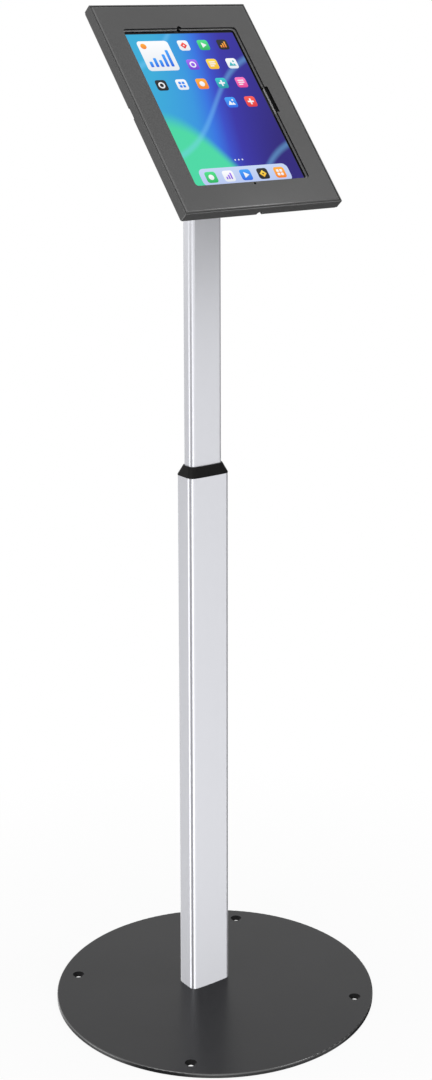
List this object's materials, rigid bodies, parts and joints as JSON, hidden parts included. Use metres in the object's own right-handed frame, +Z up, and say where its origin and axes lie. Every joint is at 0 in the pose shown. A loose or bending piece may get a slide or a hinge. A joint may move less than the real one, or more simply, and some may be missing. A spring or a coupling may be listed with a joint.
{
  "type": "adjustable tablet floor stand",
  "caption": "Floor stand on a round base plate, with a telescopic pole and a lockable tablet case that tilts, turns and opens at the front.",
  "frame": {"origin": "on the floor, under the middle of the round base plate", "axes": "+Z up the pole, the case faces -Y, +X to the right of someone who stands behind the case and looks the way it faces"},
  "size_m": [0.3999, 0.4, 1.2264],
  "materials": {
    "base_coat": "dark grey satin powder coat",
    "case_coat": "dark grey fine-texture powder coat",
    "pole_aluminium": "satin natural anodised",
    "machined_aluminium": "machined",
    "black_plastic": "moulded, fine matt texture",
    "glide_plastic": "moulded acetal, matt",
    "pad_rubber": "moulded, matt",
    "zinc_steel": "bright zinc plated",
    "black_steel": "black oxide",
    "joint_coat": "black satin powder coat",
    "friction_fibre": "friction washer fibre",
    "frame_coat": "grey powder coat",
    "foam": "closed-cell foam, black",
    "tablet_metal": "fine blasted anodised",
    "tablet_screen": "opaque black cover glass",
    "lock_chrome": "nickel plated zinc"
  },
  "bodies": {
    "stand_base": {"base_plate": "base_coat", "foot_pads": "pad_rubber", "foot_block": "machined_aluminium", "pole_screws": "zinc_steel", "foot_side_screws": "zinc_steel", "lower_pole": "pole_aluminium", "collar": "black_plastic", "lock_insert": "zinc_steel"},
    "height_lock_pad": {"lock_pad": "glide_plastic"},
    "height_lock_screw": {"height_lock_screw": "black_steel"},
    "mast": {"upper_pole": "pole_aluminium", "lower_glide": "glide_plastic", "glide_screw": "zinc_steel", "tilt_yoke": "joint_coat", "yoke_screws": "zinc_steel", "tilt_bolt": "black_steel", "tilt_nut": "zinc_steel", "tilt_washers": "zinc_steel", "friction_washers": "friction_fibre"},
    "tilt_head": {"tilt_knuckle": "joint_coat", "swivel_washer": "friction_fibre", "spring_washer": "zinc_steel", "swivel_bolt": "zinc_steel"},
    "case": {"mounting_plate": "case_coat", "case_screws": "zinc_steel", "clinch_nuts": "zinc_steel", "rear_case": "case_coat", "corner_holders": "foam", "rear_foam_strips": "foam", "tablet_housing": "tablet_metal", "tablet_glass": "tablet_screen", "lock_barrel": "lock_chrome", "lock_nut": "zinc_steel"},
    "cover": {"front_cover": "case_coat", "retaining_frame": "frame_coat", "window_gasket": "foam", "frame_rivets": "zinc_steel"},
    "cover_lock": {"lock_plug": "lock_chrome", "lock_cam": "zinc_steel", "cam_screw": "zinc_steel"}
  },
  "joints": [
    {"name": "height_slide", "type": "slide", "parent": "stand_base", "child": "mast", "axis": [0, 0, 1], "range_m": [-0.355, 0.05]},
    {"name": "lock_pad_slide", "type": "slide", "parent": "stand_base", "child": "height_lock_pad", "axis": [0, 1, 0], "range_m": [0, 0.00125]},
    {"name": "lock_screw_turn", "type": "hinge", "parent": "height_lock_pad", "child": "height_lock_screw", "pos_m": [0, 0.0422, 0.6525], "axis": [0, 1, 0], "range_deg": [0, 360]},
    {"name": "head_tilt", "type": "hinge", "parent": "mast", "child": "tilt_head", "pos_m": [0, 0.023, 1.0915], "axis": [1, 0, 0], "range_deg": [-45, 36]},
    {"name": "head_swivel", "type": "hinge", "parent": "tilt_head", "child": "case", "pos_m": [0, 0.00979, 1.10298], "axis": [0, -0.7547, 0.6561], "range_deg": [-90, 90]},
    {"name": "cover_hinge", "type": "hinge", "parent": "case", "child": "cover", "pos_m": [0, 0.08773, 1.22312], "axis": [-1, 0, 0], "range_deg": [0, 75]},
    {"name": "lock_turn", "type": "hinge", "parent": "case", "child": "cover_lock", "pos_m": [0.04, -0.08237, 1.00687], "axis": [0, 0.7547, -0.6561], "range_deg": [0, 90]}
  ],
  "couplings": [
    {"joint": "lock_screw_turn", "follows": "lock_pad_slide", "rad_per_m": 5026.5}
  ]
}
